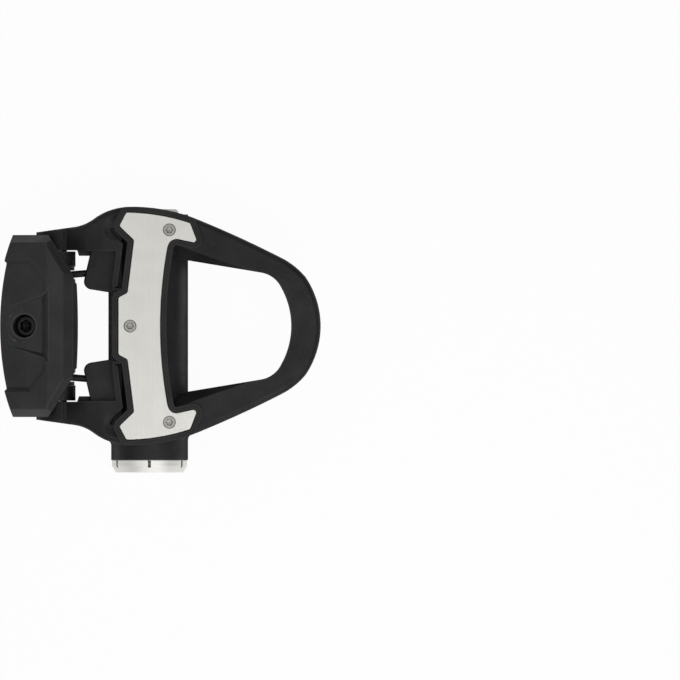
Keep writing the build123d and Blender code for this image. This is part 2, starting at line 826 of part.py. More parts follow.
def rear_clip():
    slope_end_z = clip_top_z - (clip_ridge_x - side_back_x) * tan(slope)
    section = make_face(Polyline(
        (clip_front_x, lip_z),
        (clip_front_x, clip_top_z),
        (clip_ridge_x, clip_top_z),
        (side_back_x, slope_end_z),
        (side_back_x, slope_end_z - clip_back_h),
        (clip_back_x + 1.4, -1.0),
        (clip_heel_x, clip_heel_z),
        (clip_toe_x, clip_heel_z),
        (clip_toe_x, 0),
        (lip_wall_x, 0),
        (lip_wall_x, lip_z),
        close=True,
    ))
    lip = make_face(Polyline(
        (clip_front_x - 1, lip_z),
        (clip_front_x - 1, clip_top_z - clip_front_drop),
        (clip_front_x, clip_top_z - clip_front_drop),
        (lip_x, lip_z + lip_edge),
        (lip_x, lip_z),
        close=True,
    ))
    clip = prism_y(section, -clip_half_width, clip_half_width) & prism_z(clip_plan(), -far, far)
    clip = clip - front_bevels() - end_chamfer() - back_cut() - centre_recess_cut()
    clip = clip.solids().sort_by(SortBy.VOLUME)[-1]
    clip = rounded(clip, clip_edge_r, outward_edges(clip, clip_edge_z))
    clip += prism_y(lip, -clip_half_width, clip_half_width) & prism_z(lip_plan(), -far, far)
    clip -= badge_cut()
    spring_half = knuckle_inner_y
    room_r = coil_r + wire_r + coil_clearance
    clip -= rod_y(room_r, -spring_half, spring_half, pin_x)
    clip -= block(pin_x, clip_front_x + 3, -spring_half, spring_half, clip_heel_z - 1, room_r + 0.6)
    clip -= both_sides(ear_room())
    clip += both_sides(rod_y(knuckle_r, knuckle_inner_y, knuckle_outer_y, pin_x))
    clip -= both_sides(rod_y(bush_r + seat_gap, knuckle_inner_y - 1, knuckle_outer_y + 1, pin_x))
    return clip - screw_room()


def outward_edges(solid, low_z):
    """Edges above low_z where two faces meet at an outward corner."""
    faces = solid.faces()
    found = []
    for edge in solid.edges():
        middle = edge @ 0.5
        pair = [f for f in faces if any(edge.is_same(e) for e in f.edges())] if middle.Z > low_z else []
        if len(pair) != 2:
            continue
        first, second = (f.normal_at(middle) for f in pair)
        turn = (pair[1].center() - pair[0].center()).dot(first)
        if first.get_angle(second) > 12 and turn < 0:
            found.append(edge)
    return found


def ear_room():
    """Room for an ear and the arm in front of it, over the clip's whole travel."""
    clear = ear_r + 0.6
    low = block(pin_x - clear, 0, knuckle_outer_y, 60, clip_heel_z - 5, clear - 0.6)
    return low + rod_y(clear, knuckle_outer_y, 60, pin_x)


# ---- Tension screw, nut and plate ----
def tension_nut():
    nut = hang(Box(tension_nut_side, tension_nut_side, tension_nut_h))
    bore = hang(Cylinder(tension_screw_r + 0.05, tension_nut_h))
    return along_screw(nut - bore, nut_depth + 0.02)


def tension_plate_depth():
    return spring_leg_depth() - wire_r - tension_plate_h


def tension_screw():
    length = tension_plate_depth() - screw_sink
    head = hang(Cylinder(tension_head_r, tension_head_h))
    socket = extrude(RegularPolygon(hex_socket / sqrt(3), 6), amount=-hex_depth)
    return along_screw(head + hang(Cylinder(tension_screw_r, length)) - socket, screw_sink)


def tension_plate():
    wings = Pos(-tension_plate_rear / 2 - 0.2, 0, 0) * Box(
        tension_plate_rear, 2 * tension_plate_wing_y, tension_plate_h
    )
    tongue = Pos(0, 0, 0) * Box(2 * tension_screw_r, 2 * tension_tongue_y, tension_plate_h)
    return along_screw(Pos(0, 0, -tension_plate_h / 2) * (wings + tongue), tension_plate_depth())


# ---- Pivot pin, bushes, sleeve and springs ----
def pivot_pin():
    shaft = rod_y(pin_r, -pin_end_y, pin_end_y, pin_x)
    head = rod_y(pin_head_r, pin_end_y - pin_head_h, pin_end_y, pin_x)
    groove_y = -pin_end_y + 0.5
    groove = ring_y(pin_r + 1, pin_r - 0.4, groove_y, groove_y + circlip_h)
    return shaft + head - Pos(pin_x, 0, 0) * groove


def pin_circlip():
    y0 = -pin_end_y + 0.52
    ring = ring_y(circlip_r, pin_r - 0.38, y0, y0 + circlip_h - 0.04)
    gap = block(0, circlip_r + 1, y0 - 1, y0 + 2, -0.7, 0.7)
    return Pos(pin_x, 0, 0) * (ring - gap)


def pivot_bush():
    flange = ring_y(
        bush_flange_r, pin_r + 0.05, knuckle_inner_y - bush_flange_h - 0.02, knuckle_inner_y - 0.02
    )
    body = ring_y(bush_r, pin_r + 0.05, knuckle_inner_y - 0.02, knuckle_outer_y)
    return Pos(pin_x, 0, 0) * (flange + body)


def coil_sleeve():
    half = knuckle_inner_y - bush_flange_h - 0.3
    return Pos(pin_x, 0, 0) * ring_y(pin_r + sleeve_wall, pin_r + 0.03, -half, half)


def torsion_spring():
    """Outboard spring: a leg under the pad, the coil, and a leg under the tension plate."""
    height = coil_pitch * (coil_turns + clip_slope / 360)
    coil = Plane(origin=(pin_x, front_leg_y, 0), x_dir=(0, 0, 1), z_dir=(0, -1, 0)) * Helix(
        pitch=coil_pitch, height=height, radius=coil_r
    )
    start, end = coil @ 0, coil @ 1
    front_leg = Line(start - (coil % 0) * (front_leg_x - pin_x), start)
    rear_leg = Line(end, end + (coil % 1) * rear_leg_reach)
    path = Wire([front_leg, coil, rear_leg])
    section = Plane(origin=front_leg @ 0, z_dir=front_leg % 0) * Circle(wire_r)
    return sweep(section, path=path)


# ---- Bearing set, from the crank side outwards ----
def bearing_sleeve():
    nut_end_y = bearings_end_y + washer_h + nut_h + 0.3
    return turned(
        (spindle_bore_r, sleeve_crank_y),
        (journal_r - 0.4, sleeve_crank_y),
        (journal_r, sleeve_crank_y + 0.4),
        (journal_r, bearing_shoulder_y),
        (seat_r, bearing_shoulder_y),
        (seat_r, nut_end_y),
        (spindle_bore_r, nut_end_y),
    )


def needle_cup():
    end_y = cup_crank_y + cup_length
    race_r = pitch_needle + needle_r + run_gap
    return turned(
        (cup_lip_r, cup_crank_y),
        (cup_r, cup_crank_y),
        (cup_r, end_y),
        (cup_lip_r, end_y),
        (cup_lip_r, end_y - cup_lip),
        (race_r, end_y - cup_lip),
        (race_r, cup_crank_y + cup_lip),
        (cup_lip_r, cup_crank_y + cup_lip),
    )


def needle_rollers():
    y0 = cup_crank_y + (cup_length - needle_length) / 2
    roller = rod_y(needle_r, y0, y0 + needle_length, pitch_needle)
    return Compound(children=[Rot(0, i * 360 / needle_count, 0) * roller for i in range(needle_count)])


def needle_cage():
    half = (cup_length - 2 * cup_lip) / 2 - 0.15
    middle = cup_crank_y + cup_length / 2
    cage = ring_y(pitch_needle + 0.4, pitch_needle - 0.4, middle - half, middle + half)
    y0 = middle - needle_length / 2 - 0.1
    window = rod_y(needle_r + 0.12, y0, y0 + needle_length + 0.2, pitch_needle)
    for i in range(needle_count):
        cage -= Rot(0, i * 360 / needle_count, 0) * window
    return cage


def ball_groove(centre_y):
    return revolve(
        Pos(pitch_ball, centre_y) * Circle(ball_r + run_gap), Axis.Y
    )


def ball_outer(centre_y):
    half = bearing_width / 2
    land = pitch_ball + 0.5
    return ring_y(bearing_od_r, land, centre_y - half, centre_y + half) - ball_groove(centre_y)


def ball_inner(centre_y):
    half = bearing_width / 2
    land = pitch_ball - 0.5
    bore = seat_r + seat_gap
    return ring_y(land, bore, centre_y - half, centre_y + half) - ball_groove(centre_y)


def balls(centre_y):
    ball = Pos(pitch_ball, centre_y, 0) * Sphere(ball_r)
    return Compound(children=[Rot(0, i * 360 / ball_count, 0) * ball for i in range(ball_count)])


def ball_cage(centre_y):
    """Crown cage: a ring beside the balls with pockets open on one side."""
    half = ball_cage_wall / 2
    cage = ring_y(pitch_ball + half, pitch_ball - half, centre_y - ball_cage_lap, centre_y + ball_cage_reach)
    pocket = Pos(pitch_ball, centre_y, 0) * Rot(0, 90, 0) * Cylinder(ball_r + ball_cage_gap, bearing_width)
    for i in range(ball_count):
        cage -= Rot(0, i * 360 / ball_count, 0) * pocket
    return cage


def inner_spacer():
    y0 = bearing_shoulder_y + bearing_width
    return ring_y(pitch_ball - race_gap, seat_r + seat_gap, y0, y0 + bearing_spacing)


def outer_spacer():
    y0 = bearing_shoulder_y + bearing_width
    return ring_y(bearing_od_r, pitch_ball + race_gap, y0, y0 + bearing_spacing)


def housing_circlip():
    y0 = bearings_end_y + 0.04
    ring = ring_y(bearing_od_r + 0.5, nut_flats / sqrt(3) + 0.35, y0, y0 + circlip_h)
    return ring - block(0, bearing_od_r + 2, y0 - 1, y0 + 2, -1.2, 1.2)


def sleeve_washer():
    return ring_y(pitch_ball - race_gap, seat_r + 0.02, bearings_end_y, bearings_end_y + washer_h)


def sleeve_nut():
    y0 = bearings_end_y + washer_h
    hexagon = RegularPolygon(nut_flats / sqrt(3), 6) - Circle(seat_r + 0.02)
    return prism_y(hexagon, y0, y0 + nut_h)


def end_cap():
    inner_y = cap_face_y - cap_web
    thread_r = cap_thread_r - thread_gap
    cap = turned(
        (0, cap_face_y),
        (cap_r - cap_edge, cap_face_y),
        (cap_r, cap_face_y - cap_edge),
        (cap_r, tube_outboard_y),
        (thread_r, tube_outboard_y),
        (thread_r, o_ring_y + cap_groove_width),
        (cap_thread_r - cap_groove, o_ring_y + cap_groove_width),
        (cap_thread_r - cap_groove, o_ring_y),
        (thread_r, o_ring_y),
        (thread_r, cap_thread_y + 0.1),
        (cap_inner_r, cap_thread_y + 0.1),
        (cap_inner_r, inner_y),
        (0, inner_y),
    )
    hexagon = RegularPolygon(cap_hex / sqrt(3), 6)
    return cap - prism_y(hexagon, cap_face_y - cap_hex_depth, far)


def end_cap_o_ring():
    y0, y1 = o_ring_y + 0.05, o_ring_y + cap_groove_width - 0.05
    return ring_y(cap_thread_r - 0.03, cap_thread_r - cap_groove + thread_gap, y0, y1)


def slotted_ring():
    ring = turned(
        (ring_bore_r, ring_face_y),
        (ring_face_r, ring_face_y),
        (ring_r, collar_end_y - ring_band),
        (ring_r, collar_end_y),
        (ring_thread_r - thread_gap, collar_end_y),
        (ring_thread_r - thread_gap, ring_thread_y),
        (seal_r, ring_thread_y),
        (seal_r, ring_face_y + ring_lip),
        (ring_bore_r, ring_face_y + ring_lip),
    )
    half = ring_slot_width / 2
    low_y = collar_end_y - ring_band
    slot = block(-half, half, low_y - half, collar_end_y - 0.1, ring_slot_floor_r, ring_r + 1)
    for i in range(ring_slots):
        ring -= Rot(0, i * 360 / ring_slots, 0) * slot
    return ring


def axle_seal():
    """Lip seal: a band held in the ring with a lip that runs on the sleeve."""
    y0 = ring_face_y + ring_lip
    return turned(
        (journal_r + 0.02, y0 + 0.9),
        (journal_r + 1.1, y0 + 0.1),
        (seal_r - seat_gap, y0 + 0.1),
        (seal_r - seat_gap, y0 + seal_width),
        (seal_r - 0.8, y0 + seal_width),
        (seal_r - 0.8, y0 + 1.2),
        (journal_r + 0.6, y0 + 1.4),
        (journal_r + 0.02, y0 + 1.2),
    )


# ---- Writing the nodes ----
def write(name, shape):
    export_step(shape, f"parts/{name}.step")


def write_body():
    write("pedal_body", pedal_body())
    write("wear_plate", wear_plate())
    write("wear_plate_screws", wear_plate_screws())


def write_clip():
    write("rear_clip", rear_clip())
    write("tension_nut", tension_nut())
    write("tension_screw", tension_screw())
    write("tension_plate", tension_plate())
    write("pivot_pin", pivot_pin())
    write("pin_circlip", pin_circlip())
    write("coil_sleeve", coil_sleeve())
    for name, part in (("pivot_bush", pivot_bush()), ("torsion_spring", torsion_spring())):
        write(f"{name}_outboard", part)
        write(f"{name}_inboard", mirror(part, about=Plane.XZ))


def write_bearings():
    write("bearing_sleeve", bearing_sleeve())
    write("slotted_ring", slotted_ring())
    write("axle_seal", axle_seal())
    write("needle_cup", needle_cup())
    write("needle_rollers", needle_rollers())
    write("needle_cage", needle_cage())
    for letter, y in zip("ab", ball_centres):
        write(f"bearing_{letter}_outer_ring", ball_outer(y))
        write(f"bearing_{letter}_inner_ring", ball_inner(y))
        write(f"bearing_{letter}_balls", balls(y))
        write(f"bearing_{letter}_cage", ball_cage(y))
    write("inner_spacer", inner_spacer())
    write("outer_spacer", outer_spacer())
    write("housing_circlip", housing_circlip())
    write("sleeve_washer", sleeve_washer())
    write("sleeve_nut", sleeve_nut())
    write("end_cap", end_cap())
    write("end_cap_o_ring", end_cap_o_ring())


def main():
    os.makedirs("parts", exist_ok=True)
    write_body()
    write_clip()
    write_bearings()


if __name__ == "__main__":
    main()
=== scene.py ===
"""Looks of a left-hand clipless road pedal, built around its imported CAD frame.

Every length in a function is in metres; MM turns millimetres into metres.
"""

import json
from math import pi, radians

import bpy
import numpy as np
from bpy.props import FloatProperty, FloatVectorProperty, IntProperty, PointerProperty
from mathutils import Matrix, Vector


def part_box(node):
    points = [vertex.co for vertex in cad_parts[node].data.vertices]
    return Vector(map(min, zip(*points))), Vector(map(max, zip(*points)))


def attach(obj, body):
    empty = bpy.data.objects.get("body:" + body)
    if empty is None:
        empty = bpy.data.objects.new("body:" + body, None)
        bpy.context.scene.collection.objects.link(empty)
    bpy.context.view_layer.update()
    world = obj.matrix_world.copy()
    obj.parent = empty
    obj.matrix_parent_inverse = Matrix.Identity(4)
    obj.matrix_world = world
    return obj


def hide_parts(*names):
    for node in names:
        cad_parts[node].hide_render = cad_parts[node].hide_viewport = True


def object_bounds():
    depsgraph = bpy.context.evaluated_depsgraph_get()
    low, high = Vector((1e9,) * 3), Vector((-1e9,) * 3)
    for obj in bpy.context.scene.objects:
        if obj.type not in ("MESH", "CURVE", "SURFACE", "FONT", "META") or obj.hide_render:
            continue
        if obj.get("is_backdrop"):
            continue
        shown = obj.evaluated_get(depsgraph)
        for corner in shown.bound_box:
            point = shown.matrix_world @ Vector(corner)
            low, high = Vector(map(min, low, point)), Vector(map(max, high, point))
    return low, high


bl_info = {
    "name": "Clipless road pedal",
    "version": (1, 0, 0),
    "blender": (4, 5, 0),
    "location": "View3D > Sidebar > Pedal",
    "description": "Finishes and small pieces of a clipless road pedal on its CAD frame",
    "category": "Object",
}

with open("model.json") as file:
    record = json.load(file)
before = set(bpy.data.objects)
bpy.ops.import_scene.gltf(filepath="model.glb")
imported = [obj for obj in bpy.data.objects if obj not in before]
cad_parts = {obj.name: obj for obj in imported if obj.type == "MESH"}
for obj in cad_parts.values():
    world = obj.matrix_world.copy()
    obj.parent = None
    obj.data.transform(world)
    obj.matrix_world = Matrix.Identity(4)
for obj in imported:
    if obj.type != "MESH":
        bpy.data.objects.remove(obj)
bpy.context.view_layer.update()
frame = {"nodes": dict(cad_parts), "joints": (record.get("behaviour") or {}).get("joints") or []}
MM = 0.001


# ---------------------------------------------------------------- sizes and colours
def colour(name, description, rgb):
    return FloatVectorProperty(
        name=name, description=description, default=rgb, size=3, subtype="COLOR", min=0, max=1
    )


def length(name, description, millimetres):
    return FloatProperty(
        name=name, description=description, default=millimetres * MM,
        subtype="DISTANCE", unit="LENGTH",
    )


def level(name, description, default):
    return FloatProperty(name=name, description=description, default=default, min=0)


class PedalStage(bpy.types.PropertyGroup):
    """Floor, lamps and camera"""

    floor_colour: colour("Floor", "Colour of the pale floor", (0.86, 0.86, 0.86))
    key: level("Key lamp", "Brightness of the big softbox overhead", 0.72)
    side: level("Side lamps", "Brightness that the smaller lamps take a share of", 1.0)
    sky: level("Sky", "Strength of the even light all round", 0.25)
    picture_width: length("Picture width", "Width of what the camera sees", 197.2)
    picture_x: length("Picture centre X", "Middle of the picture along the pedal", 55.3)
    picture_y: length("Picture centre Y", "Middle of the picture across the pedal", -4.06)
    lens: FloatProperty(
        name="Lens", description="Focal length of the camera in millimetres", default=1500,
        unit="CAMERA",
    )


class PedalFinish(bpy.types.PropertyGroup):
    """Colours of the finishes"""

    composite: colour("Composite", "Short-fibre composite of the body", (0.004, 0.004, 0.0043))
    clip_composite: colour("Clip composite", "Composite of the clip", (0.007, 0.007, 0.0073))
    # Partly rubbed edges and partly painted highlight: the composite's outward edges lighten to
    # this colour
    composite_edge_and_highlight: colour("Composite edge", "Rubbed edges of composite", (0.045, 0.045, 0.047))
    plate: colour("Wear plate", "Brushed stainless steel", (0.72, 0.712, 0.675))
    bright: colour("Bright steel", "Turned ring", (0.98, 0.97, 0.93))
    screws: colour("Screw steel", "Plate screws", (0.43, 0.424, 0.395))
    polished: colour("Bearing steel", "Ground and polished steel", (0.62, 0.62, 0.62))
    oiled: colour("Spring steel", "Oiled black spring wire", (0.03, 0.03, 0.03))
    blackened: colour("Black steel", "Black oxide on the tension screw", (0.03, 0.03, 0.032))
    brass: colour("Brass", "Nut of the tension screw", (0.62, 0.45, 0.2))
    plastic: colour("Bush plastic", "Bushes and cages", (0.05, 0.05, 0.053))
    rubber: colour("Rubber", "Seal and O-ring", (0.018, 0.018, 0.018))
    cap: colour("End cap", "Satin grey-beige aluminium", (0.62, 0.6, 0.56))
    # Painted shade: the colour that the metals darken to in their crevices, where shade falls
    crevice_shade_colour: colour("Grime", "Dirt in the crevices of the metals", (0.02, 0.02, 0.02))


class PedalDetail(bpy.types.PropertyGroup):
    """Sizes of the small pieces"""

    screw_lobe: length("Drive lobe", "How far the six lobes of a plate screw's drive swell", 0.14)
    screw_drive: length("Drive radius", "Mean radius of a plate screw's drive", 0.88)
    screw_drive_depth: length("Drive depth", "Depth of a plate screw's drive", 0.65)
    hex_flats: length("Hex flats", "Width across the flats of the tension screw's socket", 3.0)
    hex_depth: length("Hex depth", "Depth of the tension screw's socket", 2.05)
    thread_pitch: length("Thread pitch", "Pitch of the tension screw's thread", 0.8)
    thread_depth: length("Thread depth", "Depth of the tension screw's thread", 0.4)
    mark_height: length("Mark height", "How far the marks stand up from the clip", 0.25)
    mark_width: length("Mark width", "Width of a mark's stroke", 0.42)
    arrow_radius: length("Arrow radius", "Radius of the turning arrows' paths", 4.8)
    turn_segments: IntProperty(
        name="Turn segments", description="Facets round a turned piece", default=72, min=12
    )


def stage_settings():
    return bpy.context.scene.pedal_stage


def finish_settings():
    return bpy.context.scene.pedal_finish


def detail_settings():
    return bpy.context.scene.pedal_detail


# ---------------------------------------------------------------- node helpers
class Nodes:
    """Adds nodes to a tree and joins them in one line each. An input goes by its name, with _
    for a space, or by its place, as in i0 and i1, and takes a number or another's output."""

    def __init__(self, tree):
        self.tree = tree

    def add(self, kind, settings=None, **inputs):
        node = self.tree.nodes.new(kind)
        for name, value in (settings or {}).items():
            setattr(node, name, value)
        for name, value in inputs.items():
            self.feed(node, name, value)
        return node

    def feed(self, node, name, value):
        key = int(name[1:]) if name[0] == "i" and name[1:].isdigit() else name.replace("_", " ")
        socket = node.inputs[key]
        if isinstance(value, bpy.types.NodeSocket):
            self.tree.links.new(value, socket)
        else:
            socket.default_value = value

    def math(self, operation, a, b=0.0):
        return self.add("ShaderNodeMath", {"operation": operation}, i0=a, i1=b).outputs[0]

    def times(self, a, b):
        return self.math("MULTIPLY", a, b)

    def ramp(self, value, low, high, to_low=0.0, to_high=1.0):
        node = self.add("ShaderNodeMapRange", {"interpolation_type": "SMOOTHSTEP"}, Value=value)
        ends = {"From Min": low, "From Max": high, "To Min": to_low, "To Max": to_high}
        for name, number in ends.items():
            node.inputs[name].default_value = number
        return node.outputs["Result"]

    def noise(self, point, scale, detail):
        return self.add("ShaderNodeTexNoise", Vector=point, Scale=scale, Detail=detail).outputs[0]

    def mix(self, factor, a, b):
        node = self.add("ShaderNodeMix", {"data_type": "RGBA"}, i0=factor, i6=a, i7=b)
        return node.outputs[2]

    def join(self, source, sink):
        self.tree.links.new(source, sink)


def new_group(name, inputs, outputs):
    """An empty shader node group with named sockets, and its Nodes."""
    tree = bpy.data.node_groups.new(name, "ShaderNodeTree")
    kinds = {"vector": "NodeSocketVector", "value": "NodeSocketFloat"}
    for socket, kind, default in inputs:
        made = tree.interface.new_socket(name=socket, in_out="INPUT", socket_type=kinds[kind])
        if default is not None:
            made.default_value = default
    for socket, kind in outputs:
        tree.interface.new_socket(name=socket, in_out="OUTPUT", socket_type=kinds[kind])
    nodes = Nodes(tree)
    return nodes, nodes.add("NodeGroupInput").outputs, nodes.add("NodeGroupOutput").inputs


def build_grain_group():
    """Moulded composite: fine random grain, short fibres and slow patches of tone."""
    nodes, given, out = new_group(
        "moulded_grain",
        [("Position", "vector", None), ("Grains per metre", "value", 3000.0),
         ("Fibre", "value", 0.5)],
        [("Height", "value"), ("Tone", "value")],
    )
    point, fibres_per_metre, patches_per_metre = given["Position"], (4200.0, 900.0, 2600.0), 90.0
    grain = nodes.noise(point, given["Grains per metre"], 3.0)
    stretched = nodes.add("ShaderNodeMapping", Vector=point, Scale=fibres_per_metre).outputs[0]
    fibre = nodes.noise(stretched, 1.0, 1.0)
    patches = nodes.noise(point, patches_per_metre, 2.0)
    fibres = nodes.times(nodes.ramp(fibre, 0.58, 0.72), given["Fibre"])
    nodes.join(nodes.math("ADD", grain, nodes.times(fibres, 0.35)), out["Height"])
    slow = nodes.times(nodes.ramp(patches, 0.3, 0.7), 0.6)
    nodes.join(nodes.math("ADD", slow, fibres), out["Tone"])


def build_edge_group():
    """Edge mask: 1 on outward edges, broken up by scuffs, and a normal that rounds every
    edge a little. The finishes lighten edges by the mask, partly as rubbing and partly as a
    painted highlight."""
    nodes, given, out = new_group(
        "edge_wear_and_highlight",
        [("Position", "vector", None), ("Reach", "value", 0.0004), ("Radius", "value", 0.0002)],
        [("Mask", "value"), ("Normal", "vector")],
    )
    inside = nodes.add(
        "ShaderNodeAmbientOcclusion", {"inside": True, "only_local": True, "samples": 6},
        Distance=given["Reach"],
    )
    near = nodes.math("SUBTRACT", 1.0, inside.outputs["AO"])
    scuffs_per_metre, broken_up, least = 700.0, 0.8, 0.5
    scuff = nodes.noise(given["Position"], scuffs_per_metre, 3.0)
    kept = nodes.math("ADD", nodes.times(scuff, broken_up), least)
    nodes.join(nodes.times(nodes.ramp(near, 0.02, 0.3), kept), out["Mask"])
    bevel = nodes.add("ShaderNodeBevel", {"samples": 6}, Radius=given["Radius"])
    nodes.join(bevel.outputs[0], out["Normal"])


def build_crevice_group():
    """Crevices: a mask that is 1 where other surfaces stand close on all sides. The metals paint
    shade there by it.
    """
    nodes, given, out = new_group(
        "crevices", [("Reach", "value", 0.0004)], [("Mask", "value")]
    )
    light = nodes.add("ShaderNodeAmbientOcclusion", {"samples": 6}, Distance=given["Reach"])
    closed = nodes.math("SUBTRACT", 1.0, light.outputs["AO"])
    nodes.join(nodes.ramp(closed, 0.15, 0.75), out["Mask"])


def build_brush_group():
    """Brushed metal: fine streaks along one axis, from noise that is stretched along it."""
    nodes, given, out = new_group(
        "brushed_lines",
        [("Position", "vector", None), ("Lines", "vector", (6000.0, 60.0, 6000.0))],
        [("Height", "value"), ("Tone", "value")],
    )
    scaled = nodes.add(
        "ShaderNodeVectorMath", {"operation": "MULTIPLY"}, i0=given["Position"], i1=given["Lines"]
    ).outputs[0]
    fine_share, broad_scale = 0.6, 0.23
    fine, broad = nodes.noise(scaled, 1.0, 2.0), nodes.noise(scaled, broad_scale, 2.0)
    total = nodes.math("ADD", nodes.times(fine, fine_share), nodes.times(broad, 1 - fine_share))
    nodes.join(total, out["Height"])
    nodes.join(nodes.ramp(total, 0.3, 0.7), out["Tone"])


def build_turned_group():
    """Turned metal: rings about the Y axis, from noise read at a point's radius and its place
    along the axis only."""
    nodes, given, out = new_group(
        "turned_lines",
        [("Position", "vector", None), ("Lines", "value", 5000.0)],
        [("Height", "value"), ("Tone", "value")],
    )
    x, y, z = nodes.add("ShaderNodeSeparateXYZ", Vector=given["Position"]).outputs
    radius = nodes.math("SQRT", nodes.math("ADD", nodes.times(x, x), nodes.times(z, z)))
    flat = nodes.add("ShaderNodeCombineXYZ", X=radius, Y=y).outputs[0]
    scaled = nodes.add(
        "ShaderNodeVectorMath", {"operation": "SCALE"}, i0=flat, Scale=given["Lines"]
    ).outputs[0]
    rings = nodes.noise(scaled, 1.0, 2.0)
    nodes.join(rings, out["Height"])
    nodes.join(nodes.ramp(rings, 0.35, 0.65), out["Tone"])


def build_handling_group():
    """Handling marks: slow smudges, which the finishes take as roughness."""
    nodes, given, out = new_group(
        "handling", [("Position", "vector", None)], [("Smudge", "value")]
    )
    smudges_per_metre = 160.0
    smudge = nodes.noise(given["Position"], smudges_per_metre, 4.0)
    nodes.join(nodes.ramp(smudge, 0.35, 0.65), out["Smudge"])


def build_groups():
    build_grain_group()
    build_edge_group()
    build_crevice_group()
    build_brush_group()
    build_turned_group()
    build_handling_group()


# ---------------------------------------------------------------- finishes
def new_finish(name):
    """Starts a material with only a Principled shader. Gives its Nodes, the shader and the
    point on the piece."""
    material = bpy.data.materials.new(name)
    material.use_nodes = True
    nodes = Nodes(material.node_tree)
    nodes.tree.nodes.clear()
    shader = nodes.add("ShaderNodeBsdfPrincipled")
    nodes.add("ShaderNodeOutputMaterial", Surface=shader.outputs[0])
    point = nodes.add("ShaderNodeTexCoord").outputs["Object"]
    return nodes, shader, point


def place_group(nodes, name, **inputs):
    node = nodes.add("ShaderNodeGroup", {"node_tree": bpy.data.node_groups[name]})
    for key, value in inputs.items():
        nodes.feed(node, key, value)
    return node.outputs


def bump(nodes, shader, height, distance, strength, normal):
    node = nodes.add(
        "ShaderNodeBump", Strength=strength, Distance=distance, Height=height, Normal=normal
    )
    nodes.join(node.outputs[0], shader.inputs["Normal"])


def composite_finish(name, tint, sheen, wear_and_highlight):
    """Moulded composite. sheen is the specular level of its flats, and the last argument how
    much of the rubbed colour its edges take, partly as rubbing and partly as a painted
    highlight. It is duller at a glancing angle."""
    nodes, shader, point = new_finish(name)
    grain = place_group(nodes, "moulded_grain", Position=point)
    edge = place_group(nodes, "edge_wear_and_highlight", Position=point, Reach=0.6 * MM, Radius=0.25 * MM)
    marks = place_group(nodes, "handling", Position=point)
    dark, worn_and_highlight = (*tint, 1), (*finish_settings().composite_edge_and_highlight, 1)
    grain_tone, grain_depth, clean, handled, duller = 0.35, 0.06 * MM, 0.42, 0.52, 0.45
    toned = nodes.mix(nodes.times(grain["Tone"], grain_tone), dark, worn_and_highlight)
    # Partly rubbing and partly painted highlight: outward edges lighten toward the rubbed colour
    nodes.feed(shader, "Base Color", nodes.mix(nodes.times(edge["Mask"], wear_and_highlight), toned, worn_and_highlight))
    facing = nodes.add("ShaderNodeLayerWeight", Blend=0.5).outputs["Facing"]
    glancing = nodes.ramp(facing, 0.45, 0.9, 0, duller)
    rough = nodes.ramp(marks["Smudge"], 0, 1, clean, handled)
    nodes.feed(shader, "Roughness", nodes.math("ADD", rough, glancing))
    shader.inputs["Specular IOR Level"].default_value = sheen
    bump(nodes, shader, grain["Height"], grain_depth, 0.5, edge["Normal"])


def metal(name, tint, roughness, pattern, depth, lines, streaks=0.8, shade_reach=0.25 * MM):
    """A brushed or turned metal. depth and lines are those of its pattern, streaks is how
    bright its dark lines are against the light ones, and painted shade darkens the crevices
    that other surfaces close within the reach given last."""
    nodes, shader, point = new_finish(name)
    edge = place_group(nodes, "edge_wear_and_highlight", Position=point, Reach=0.3 * MM, Radius=0.12 * MM)
    marks = place_group(nodes, "handling", Position=point)
    ruled = place_group(nodes, pattern, Position=point, Lines=lines)
    # Painted shade: the base colour darkens where ambient occlusion finds surfaces close by
    shade_mask = place_group(nodes, "crevices", Reach=shade_reach)
    light, streak = (*tint, 1), (*[c * streaks for c in tint], 1)
    crevice_shade_colour, shade_cover = (*finish_settings().crevice_shade_colour, 1), 0.85
    toned = nodes.mix(ruled["Tone"], streak, light)
    rubbed = nodes.mix(edge["Mask"], toned, light)
    shaded = nodes.mix(nodes.times(shade_mask["Mask"], shade_cover), rubbed, crevice_shade_colour)
    nodes.feed(shader, "Base Color", shaded)
    line_rough, smudge_rough = 0.1, 0.06
    rough = nodes.math(
        "ADD", nodes.ramp(ruled["Tone"], 0, 1, roughness, roughness + line_rough),
        nodes.ramp(marks["Smudge"], 0, 1, 0, smudge_rough),
    )
    nodes.feed(shader, "Roughness", rough)
    shader.inputs["Metallic"].default_value = 1.0
    bump(nodes, shader, ruled["Height"], depth, 0.5, edge["Normal"])


def plain_finish(name, tint, roughness, gloss):
    """Plain moulded plastic or rubber, of specular level gloss."""
    nodes, shader, point = new_finish(name)
    texture = place_group(
        nodes, "moulded_grain", Position=point, Grains_per_metre=5000.0, Fibre=0.0
    )
    edge = place_group(nodes, "edge_wear_and_highlight", Position=point, Reach=0.3 * MM, Radius=0.12 * MM)
    lighter = (*[min(1, c * 1.6 + 0.01) for c in tint], 1)
    tone = nodes.math("ADD", nodes.times(texture["Tone"], 0.3), nodes.times(edge["Mask"], 0.5))
    nodes.feed(shader, "Base Color", nodes.mix(tone, (*tint, 1), lighter))
    patchy = 0.12
    rough = nodes.ramp(texture["Tone"], 0, 1, roughness, roughness + patchy)
    nodes.feed(shader, "Roughness", rough)
    shader.inputs["Specular IOR Level"].default_value = gloss
    bump(nodes, shader, texture["Height"], 0.03 * MM, 0.4, edge["Normal"])


def cover(names, material):
    """Give CAD nodes a finish, in place of the plain one they came with."""
    for name in names:
        slots = frame["nodes"][name].data.materials
        slots.clear()
        slots.append(material)


